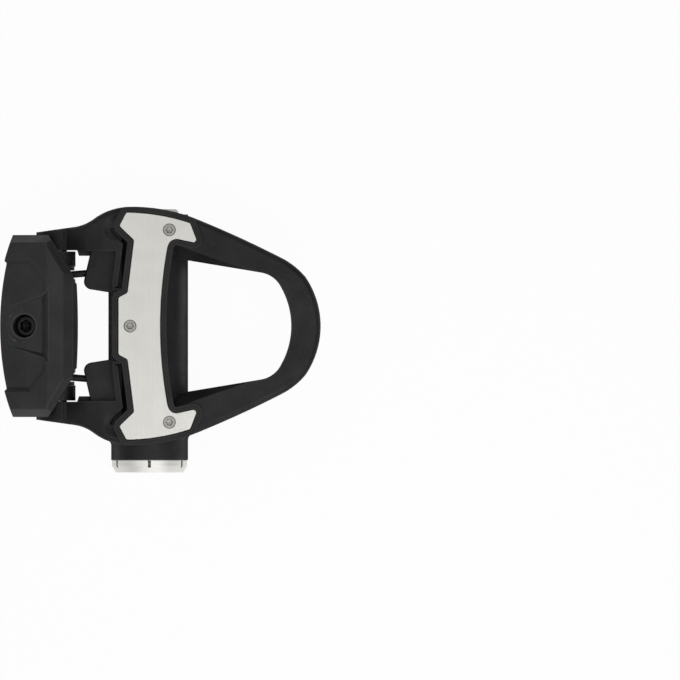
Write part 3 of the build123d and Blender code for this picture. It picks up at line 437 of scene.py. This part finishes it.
# ---------------------------------------------------------------- surfaces
def ring_rows(first, rows, count):
    """Quads of a tube whose rows are closed rings of count points, from vertex index first."""
    row = np.arange(rows - 1)[:, None] * count + first
    here = np.arange(count)[None, :]
    after = (here + 1) % count
    quads = [row + here, row + after, row + count + after, row + count + here]
    return np.stack(quads, -1).reshape(-1, 4)


def cap_fans(rows, count, end):
    """Triangles that close a tube of rings at vertex 0 and at vertex end."""
    i = np.arange(count)
    j = (i + 1) % count
    base = 1 + (rows - 1) * count
    first = np.stack([0 * i, 1 + j, 1 + i], -1)
    last = np.stack([0 * i + end, base + i, base + j], -1)
    return first.tolist() + last.tolist()


def around(count):
    """Angles of count points all round."""
    return np.arange(count) * 2 * pi / count


def closed_form(first_z, radii, heights, last_z):
    """Closed form about +Z: row i and angle a give (r cos a, r sin a, z), with r from the
    table radii[i, a] and z = heights[i]. The ends are points on the axis."""
    rows, count = radii.shape
    angle = around(count)
    heights = np.asarray(heights)[:, None] + 0 * radii
    ring = np.stack([radii * np.cos(angle), radii * np.sin(angle), heights], -1)
    points = np.vstack([[(0, 0, first_z)], ring.reshape(-1, 3), [(0, 0, last_z)]])
    return points, ring_rows(1, rows, count).tolist() + cap_fans(rows, count, len(points) - 1)


def node_points(name):
    """The points of a CAD node as rows of (x, y, z)."""
    vertices = frame["nodes"][name].data.vertices
    flat = np.empty(3 * len(vertices), np.float32)
    vertices.foreach_get("co", flat)
    return flat.reshape(-1, 3).astype(float)


def top_surface(name):
    """A function that gives the height of a CAD node's upper surface at (x, y) points. A
    triangle's height at a point is a.z + u (b - a).z + v (c - a).z, where u and v are the
    point's shares along its two sides, and the highest triangle that holds the point counts."""
    mesh = frame["nodes"][name].data
    mesh.calc_loop_triangles()
    corners = np.empty(3 * len(mesh.loop_triangles), np.int32)
    mesh.loop_triangles.foreach_get("vertices", corners)
    a, b, c = node_points(name)[corners].reshape(-1, 3, 3).transpose(1, 0, 2)
    ab, ac = b - a, c - a
    area = ab[:, 0] * ac[:, 1] - ab[:, 1] * ac[:, 0]
    spread = np.abs(area) > (0.0001 * MM) ** 2
    a, ab, ac, area = a[spread], ab[spread], ac[spread], area[spread]

    def height(xy):
        x, y = (xy[:, None, :] - a[None, :, :2]).transpose(2, 0, 1)
        u = (x * ac[:, 1] - y * ac[:, 0]) / area
        v = (y * ab[:, 0] - x * ab[:, 1]) / area
        holds = (u >= 0) & (v >= 0) & (u + v <= 1)
        tops = np.where(holds, a[:, 2] + u * ab[:, 2] + v * ac[:, 2], -np.inf).max(1)
        if np.isinf(tops).any():
            raise ValueError(f"a point lies beside {name}")
        return tops

    return height


def add_piece(name, points, faces, body, finish, stands_for=(), sharp=35):
    """A mesh object at the origin that rides on a body."""
    mesh = bpy.data.meshes.new(name)
    mesh.from_pydata(np.asarray(points, float).tolist(), [], [list(f) for f in faces])
    if mesh.validate():
        raise ValueError(f"{name} has faces that don't hold together")
    mesh.shade_smooth()
    mesh.set_sharp_from_angle(angle=radians(sharp))
    mesh.materials.append(bpy.data.materials[finish])
    piece = bpy.data.objects.new(name, mesh)
    bpy.context.scene.collection.objects.link(piece)
    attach(piece, body)
    if stands_for:
        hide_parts(*stands_for)
    return piece


def merged(shapes):
    """Several (points, faces) as one."""
    points, faces, first = [], [], 0
    for some, these in shapes:
        points.append(some)
        faces += [[i + first for i in f] for f in these]
        first += len(some)
    return np.vstack(points), faces


def joint_of(name):
    return next(j for j in frame["joints"] if j["name"] == name)


# ---------------------------------------------------------------- pieces
def plate_screw_shape(d, radius, top, bottom):
    """A countersunk screw about +Z: six-lobed drive, flat head with a broken edge, cone and
    shank. Its rows are (radius, height, lobed), and a lobed row's radius at angle a gains the
    lobe times cos(6 a)."""
    drive, floor = d.screw_drive, top - d.screw_drive_depth
    shank_r, head_height, chamfer = 1.0 * MM, 1.05 * MM, 0.25 * MM
    shank_top = top - head_height
    rows = np.array([
        (0.25 * MM, floor - 0.05 * MM, 0),
        (drive * 0.93, floor, 1),
        (drive * 0.98, (top + floor) / 2, 1),
        (drive, top - 0.1 * MM, 1),
        (drive + 0.1 * MM, top, 1),
        (1.2 * MM, top, 0),
        (radius - 0.26 * MM, top, 0),
        (radius - 0.07 * MM, top - 0.17 * MM, 0),
        (radius - 0.04 * MM, top - 0.3 * MM, 0),
        (shank_r + 0.03 * MM, shank_top, 0),
        (shank_r, shank_top - 0.1 * MM, 0),
        (shank_r, bottom + chamfer, 0),
        (shank_r - chamfer, bottom, 0),
    ])
    r, z, lobed = rows.T
    swell = d.screw_lobe * np.cos(6 * around(d.turn_segments))
    radii = r[:, None] + np.outer(lobed, swell)
    return closed_form(floor - 0.12 * MM, radii, z, bottom)


def build_plate_screws():
    """The three screws of the wear plate, each where the CAD has it."""
    d = detail_settings()
    co = node_points("wear_plate_screws")
    low, high = co[:, 2].min(), co[:, 2].max()
    top = co[co[:, 2] > high - 0.01 * MM]
    # Rounded to 10 mm, Y is above 0, below it and 0 for the three screws
    side_of = np.sign(np.round(top[:, 1], 2))
    shapes = []
    for side in (1, -1, 0):
        here = top[side_of == side]
        centre = (here.min(0) + here.max(0)) / 2
        radius = (here[:, 0].max() - here[:, 0].min()) / 2
        points, faces = plate_screw_shape(d, radius, high, low)
        shapes.append((points + [centre[0], centre[1], 0], faces))
    points, faces = merged(shapes)
    add_piece("plate_screws_six_lobe", points, faces, "pedal", "turned_screws",
              ["wear_plate_screws"])


def axis_frame(origin, down):
    """The axes, as rows, and the origin of a frame whose Y is the pedal's and whose Z points
    against down."""
    z = -Vector(down).normalized()
    y = Vector((0, 1, 0))
    x = y.cross(z)
    return np.array([x, y, z]), np.array(origin)


def socket_head(d, angle, top, under, head_r, shank_r):
    """Rows (radius at each angle, height) of a socket head, from the tip of its socket out over
    the rim and in to the shank. A hexagon's radius is half its flats over the cosine of the
    angle from the nearest flat."""
    even = 0 * angle
    from_flat = (angle + pi / 6) % (pi / 3) - pi / 6
    hexagon = d.hex_flats / 2 / np.cos(from_flat)
    floor, edge = top - d.hex_depth, 0.3 * MM
    lead_in = np.maximum(hexagon + 0.06 * MM, 1.82 * MM)
    return [
        (hexagon * 0.2, floor - 0.85 * MM),
        (hexagon, floor),
        (hexagon, top - edge),
        (lead_in, top - 0.02 * MM),
        (even + 1.95 * MM, top),
        (even + head_r - edge, top),
        (even + head_r - 0.3 * edge, top - 0.3 * edge),
        (even + head_r, top - edge),
        (even + head_r, under + edge / 2),
        (even + head_r - edge / 2, under),
        (even + shank_r, under),
    ]


def cut_thread(d, angle, top, bottom, outer_r):
    """Rows of a thread: the radius falls by the thread's depth times a triangle wave of
    (height / pitch - angle / turn), and the wave fades in below the top."""
    rows_per_turn, run_out, end = 12, 0.5 * MM, 0.2 * MM
    rows = int((top - bottom) / d.thread_pitch * rows_per_turn)
    z = np.linspace(top, bottom + end, rows)
    wave = np.abs((z[:, None] / d.thread_pitch - angle / (2 * pi)) % 1 * 2 - 1)
    fade = np.clip((top - z[:, None]) / run_out, 0, 1)
    return outer_r - d.thread_depth * wave * fade, z


def build_tension_screw():
    """Socket screw with a cut thread, of the size and place of the CAD's plain one."""
    d = detail_settings()
    joint = joint_of("tension_turn")
    turn, origin = axis_frame(joint["pos_m"], joint["axis"])
    co = (node_points("tension_screw") - origin) @ turn.T
    reach = np.hypot(co[:, 0], co[:, 1])
    bottom, top, head_r = co[:, 2].min(), co[:, 2].max(), reach.max()
    slack, well_below, neck, tip_step, point = 0.05 * MM, 1.0 * MM, 0.6 * MM, 0.8 * MM, 1.0 * MM
    under = co[reach > head_r - slack, 2].min()
    shank_r = reach[co[:, 2] < under - well_below].max()
    angle = around(d.turn_segments)
    head = socket_head(d, angle, top, under, head_r, shank_r)
    r_thread, z_thread = cut_thread(d, angle, under - neck, bottom, shank_r)
    radii = np.vstack([[r for r, _ in head], r_thread, [0 * angle + shank_r - tip_step]])
    heights = [*[z for _, z in head], *z_thread, bottom]
    points, faces = closed_form(top - d.hex_depth - point, radii, heights, bottom)
    add_piece("tension_screw_threaded", points @ turn + origin, faces, "tension_drive",
              "blackened_steel", ["tension_screw"])


def stroke(path, widths, surface, height):
    """A raised stroke: a path point with width w gives the cross-section (-w/2, foot),
    (-w/2 + bevel, top), (w/2 - bevel, top), (w/2, foot), its foot sunk below the surface."""
    sunk = 0.05 * MM
    along = np.gradient(path, axis=0)
    along /= np.linalg.norm(along, axis=1)[:, None]
    across = np.stack([-along[:, 1], along[:, 0]], 1)
    half = np.asarray(widths)[:, None] / 2
    bevel = np.minimum(half * 0.4, height * 0.6)
    flat = half - bevel
    rows = []
    for offset, up in ((-half, -sunk), (-flat, height), (flat, height), (half, -sunk)):
        xy = path + across * offset
        rows.append(np.column_stack([xy, surface(xy) + up]))
    points = np.stack(rows, 1).reshape(-1, 3)
    last = (len(path) - 1) * 4
    ends = [[3, 2, 1, 0], [last, last + 1, last + 2, last + 3]]
    return points, ring_rows(0, len(path), 4).tolist() + ends


def build_marks():
    """Plus and minus marks and two turning arrows, raised round the tension screw. An arrow's
    path is centre + r (cos a, sin a), and its width swells and tapers off at its end."""
    d = detail_settings()
    surface = top_surface("rear_clip")
    screw = joint_of("tension_turn")["pos_m"]
    set_back = 0.73 * MM
    centre = np.array([screw[0] - set_back, screw[1]])
    width, height = d.mark_width, d.mark_height

    def bar(at, reach):
        path = centre + at + np.outer(np.linspace(-0.5, 0.5, 5), reach)
        return stroke(path, np.full(len(path), width), surface, height)

    minus_at, minus_long = np.array([-0.2, 4.9]) * MM, 1.5 * MM
    plus_at, plus_long = np.array([0.2, -4.6]) * MM, 1.3 * MM
    minus = [bar(minus_at, [0, minus_long])]
    plus = [bar(plus_at, [0, plus_long]), bar(plus_at, [plus_long, 0])]
    steps, tip_steps, broad, narrow = 14, 5, 3.2, 0.3
    widths = np.full(steps, width)
    widths[-tip_steps:] *= np.linspace(broad, narrow, tip_steps)
    arrow_spans, arrows = ((121, 149), (207, 250)), []
    for start, end in arrow_spans:
        angle = np.radians(np.linspace(start, end, steps))
        path = centre + d.arrow_radius * np.stack([np.cos(angle), np.sin(angle)], 1)
        arrows.append(stroke(path, widths, surface, height))
    points, faces = merged(minus + plus + arrows)
    add_piece("turning_marks", points, faces, "clip", "clip_composite", sharp=30)


# ---------------------------------------------------------------- stage
def look_at(thing, target):
    thing.rotation_euler = (Vector(target) - thing.location).to_track_quat("-Z", "Y").to_euler()


def add_lamp(name, place, target, width, depth, brightness):
    """A soft lamp that looks as bright as a surface of that brightness, whatever its size."""
    data = bpy.data.lights.new(name, "AREA")
    data.shape = "RECTANGLE"
    data.size, data.size_y, data.energy = width, depth, brightness * pi * width * depth
    lamp = bpy.data.objects.new(name, data)
    bpy.context.scene.collection.objects.link(lamp)
    lamp.location = place
    look_at(lamp, target)


def white_for_camera(nodes, lit, even, seen, glossy_share):
    """Mix a lit shader with an even one, which rays from the camera and through glass see by
    the share seen, and rays from glossy surfaces by glossy_share of that, so that upright
    faces keep their depth."""
    path = nodes.add("ShaderNodeLightPath").outputs
    glossy = nodes.times(path["Is Glossy Ray"], glossy_share)
    other = nodes.math("MAXIMUM", glossy, path["Is Transmission Ray"])
    share = nodes.times(nodes.math("MAXIMUM", path["Is Camera Ray"], other), seen)
    return nodes.add("ShaderNodeMixShader", i0=share, i1=lit, i2=even).outputs[0]


def build_floor(low_z):
    material = bpy.data.materials.new("pale_floor")
    material.use_nodes = True
    nodes = Nodes(material.node_tree)
    nodes.tree.nodes.clear()
    pale = (*stage_settings().floor_colour, 1)
    diffuse = nodes.add("ShaderNodeBsdfDiffuse", Color=pale).outputs[0]
    even = nodes.add("ShaderNodeEmission", Color=(1, 1, 1, 1), Strength=1.0).outputs[0]
    mixed = white_for_camera(nodes, diffuse, even, seen=0.96, glossy_share=0.5)
    nodes.add("ShaderNodeOutputMaterial", Surface=mixed)
    mesh = bpy.data.meshes.new("floor")
    far = 3.0
    corners = [(-far, -far, low_z), (far, -far, low_z), (far, far, low_z), (-far, far, low_z)]
    mesh.from_pydata(corners, [], [(0, 1, 2, 3)])
    mesh.materials.append(material)
    floor = bpy.data.objects.new("floor", mesh)
    bpy.context.scene.collection.objects.link(floor)
    floor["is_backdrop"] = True


def build_world():
    world = bpy.data.worlds.new("soft_sky")
    bpy.context.scene.world = world
    world.use_nodes = True
    nodes = Nodes(world.node_tree)
    nodes.tree.nodes.clear()
    white = (1, 1, 1, 1)
    sky = nodes.add(
        "ShaderNodeBackground", Color=white, Strength=stage_settings().sky
    ).outputs[0]
    even = nodes.add("ShaderNodeBackground", Color=white, Strength=1.0).outputs[0]
    mixed = white_for_camera(nodes, sky, even, seen=1.0, glossy_share=0.0)
    nodes.add("ShaderNodeOutputWorld", Surface=mixed)


def build_camera():
    """A camera straight above the wear plate, so far off that its picture is as wide there as
    picture_width says."""
    s = stage_settings()
    data = bpy.data.cameras.new("camera")
    data.lens = s.lens
    camera = bpy.data.objects.new("camera", data)
    bpy.context.scene.collection.objects.link(camera)
    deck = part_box("wear_plate")[1].z
    away = s.picture_width * data.lens / data.sensor_width
    camera.location = (s.picture_x, s.picture_y, deck + away)
    data.clip_start, data.clip_end = 0.01, 20
    bpy.context.scene.camera = camera


# The low lamps: name, place, width, depth and share of the side brightness
LOW_LAMPS = (
    ("near", (0.1, -0.7, 0.27), 0.7, 0.3, 1.4),
    ("far", (0, 0.5, 0.55), 0.7, 0.3, 0.4),
    ("front", (0.7, -0.08, 0.16), 0.8, 0.3, 0.35),
    ("back", (-0.7, -0.05, 0.16), 0.8, 0.3, 0.35),
)


# ---------------------------------------------------------------- operators
class PEDAL_OT_stage(bpy.types.Operator):
    """Floor, sky, lamps and camera"""

    bl_idname = "pedal.stage"
    bl_label = "Stage"

    def execute(self, context):
        s = stage_settings()
        low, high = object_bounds()
        middle = (low + high) / 2
        build_floor(low.z)
        build_world()
        add_lamp("key", (-0.15, -0.15, 0.7), middle, 1.0, 1.0, s.key)
        for name, place, width, depth, share in LOW_LAMPS:
            add_lamp(name, place, middle, width, depth, s.side * share)
        nose = (0.05, -0.03, 0)
        add_lamp("corner", (0.1, -0.1, 0.19), nose, 0.15, 0.15, s.side * 1.5)
        build_camera()
        context.scene.view_settings.view_transform = "Standard"
        return {"FINISHED"}


class PEDAL_OT_finishes(bpy.types.Operator):
    """Shared effects and the finishes made from them"""

    bl_idname = "pedal.finishes"
    bl_label = "Finishes"

    def execute(self, context):
        f = finish_settings()
        build_groups()
        composite_finish("moulded_composite", f.composite, sheen=0.3, wear_and_highlight=0.35)
        composite_finish("clip_composite", f.clip_composite, sheen=0.42, wear_and_highlight=1.0)
        all_ways = np.ones(3)
        metal("brushed_plate", f.plate, 0.32, "brushed_lines", depth=0.02 * MM,
              lines=(8000.0, 70.0, 8000.0), streaks=0.92)
        metal("turned_ring", f.bright, 0.48, "turned_lines", depth=0.008 * MM,
              lines=5000.0, streaks=0.9, shade_reach=1.2 * MM)
        metal("turned_screws", f.screws, 0.34, "brushed_lines", depth=0.006 * MM,
              lines=3000 * all_ways)
        metal("polished_steel", f.polished, 0.12, "turned_lines", depth=0.004 * MM,
              lines=9000.0)
        metal("spring_wire", f.oiled, 0.3, "brushed_lines", depth=0.01 * MM,
              lines=2500 * all_ways)
        metal("blackened_steel", f.blackened, 0.35, "brushed_lines", depth=0.01 * MM,
              lines=4000 * all_ways)
        metal("ground_steel", f.polished, 0.3, "brushed_lines", depth=0.01 * MM,
              lines=(4000.0, 200.0, 4000.0))
        metal("cast_brass", f.brass, 0.3, "brushed_lines", depth=0.01 * MM,
              lines=3000 * all_ways)
        metal("satin_cap", f.cap, 0.34, "turned_lines", depth=0.01 * MM, lines=6000.0)
        plain_finish("moulded_plastic", f.plastic, 0.45, gloss=0.5)
        plain_finish("soft_rubber", f.rubber, 0.7, gloss=0.3)
        return {"FINISHED"}


NODE_FINISHES = {
    "moulded_composite": ("pedal_body",),
    "clip_composite": ("rear_clip",),
    "brushed_plate": ("wear_plate",),
    "turned_screws": ("wear_plate_screws",),
    "turned_ring": ("slotted_ring",),
    "polished_steel": (
        "needle_cup", "needle_rollers", "bearing_a_outer_ring", "bearing_a_inner_ring",
        "bearing_a_balls", "bearing_b_outer_ring", "bearing_b_inner_ring", "bearing_b_balls",
        "bearing_sleeve", "inner_spacer", "outer_spacer", "sleeve_washer", "sleeve_nut",
    ),
    "ground_steel": ("pivot_pin", "tension_plate", "coil_sleeve"),
    "spring_wire": (
        "torsion_spring_outboard", "torsion_spring_inboard", "pin_circlip", "housing_circlip",
    ),
    "blackened_steel": ("tension_screw",),
    "cast_brass": ("tension_nut",),
    "satin_cap": ("end_cap",),
    "moulded_plastic": (
        "pivot_bush_outboard", "pivot_bush_inboard", "needle_cage", "bearing_a_cage",
        "bearing_b_cage",
    ),
    "soft_rubber": ("axle_seal", "end_cap_o_ring"),
}


class PEDAL_OT_frame(bpy.types.Operator):
    """Finishes on the CAD nodes"""

    bl_idname = "pedal.frame"
    bl_label = "Frame finishes"

    def execute(self, context):
        left = set(frame["nodes"])
        for finish, names in NODE_FINISHES.items():
            cover(names, bpy.data.materials[finish])
            left -= set(names)
        if left:
            raise ValueError(f"no finish for {sorted(left)}")
        return {"FINISHED"}


class PEDAL_OT_plate_screws(bpy.types.Operator):
    """Countersunk six-lobe screws of the wear plate"""

    bl_idname = "pedal.plate_screws"
    bl_label = "Plate screws"

    def execute(self, context):
        build_plate_screws()
        return {"FINISHED"}


class PEDAL_OT_tension_screw(bpy.types.Operator):
    """Threaded socket screw that sets the release tension"""

    bl_idname = "pedal.tension_screw"
    bl_label = "Tension screw"

    def execute(self, context):
        build_tension_screw()
        return {"FINISHED"}


class PEDAL_OT_marks(bpy.types.Operator):
    """Plus, minus and turning arrows beside the tension screw"""

    bl_idname = "pedal.marks"
    bl_label = "Turning marks"

    def execute(self, context):
        build_marks()
        return {"FINISHED"}


class PEDAL_PT_panel(bpy.types.Panel):
    """Lists the steps that dress the pedal"""

    bl_idname = "PEDAL_PT_panel"
    bl_label = "Clipless pedal"
    bl_space_type = "VIEW_3D"
    bl_region_type = "UI"
    bl_category = "Pedal"

    def draw(self, context):
        for step in STEPS:
            self.layout.operator(step.bl_idname)
        for group in (stage_settings(), finish_settings(), detail_settings()):
            box = self.layout.box()
            for name in group.bl_rna.properties.keys():
                if name not in ("rna_type", "name"):
                    box.prop(group, name)


STEPS = (
    PEDAL_OT_finishes,
    PEDAL_OT_frame,
    PEDAL_OT_plate_screws,
    PEDAL_OT_tension_screw,
    PEDAL_OT_marks,
    PEDAL_OT_stage,
)
GROUPS = (PedalStage, PedalFinish, PedalDetail)


def register():
    for cls in (*GROUPS, *STEPS, PEDAL_PT_panel):
        bpy.utils.register_class(cls)
    bpy.types.Scene.pedal_stage = PointerProperty(type=PedalStage)
    bpy.types.Scene.pedal_finish = PointerProperty(type=PedalFinish)
    bpy.types.Scene.pedal_detail = PointerProperty(type=PedalDetail)


def unregister():
    for name in ("pedal_stage", "pedal_finish", "pedal_detail"):
        delattr(bpy.types.Scene, name)
    for cls in reversed((*GROUPS, *STEPS, PEDAL_PT_panel)):
        bpy.utils.unregister_class(cls)


def main():
    register()
    for step in STEPS:
        area, name = step.bl_idname.split(".")
        getattr(getattr(bpy.ops, area), name)()


if __name__ == "__main__":
    main()
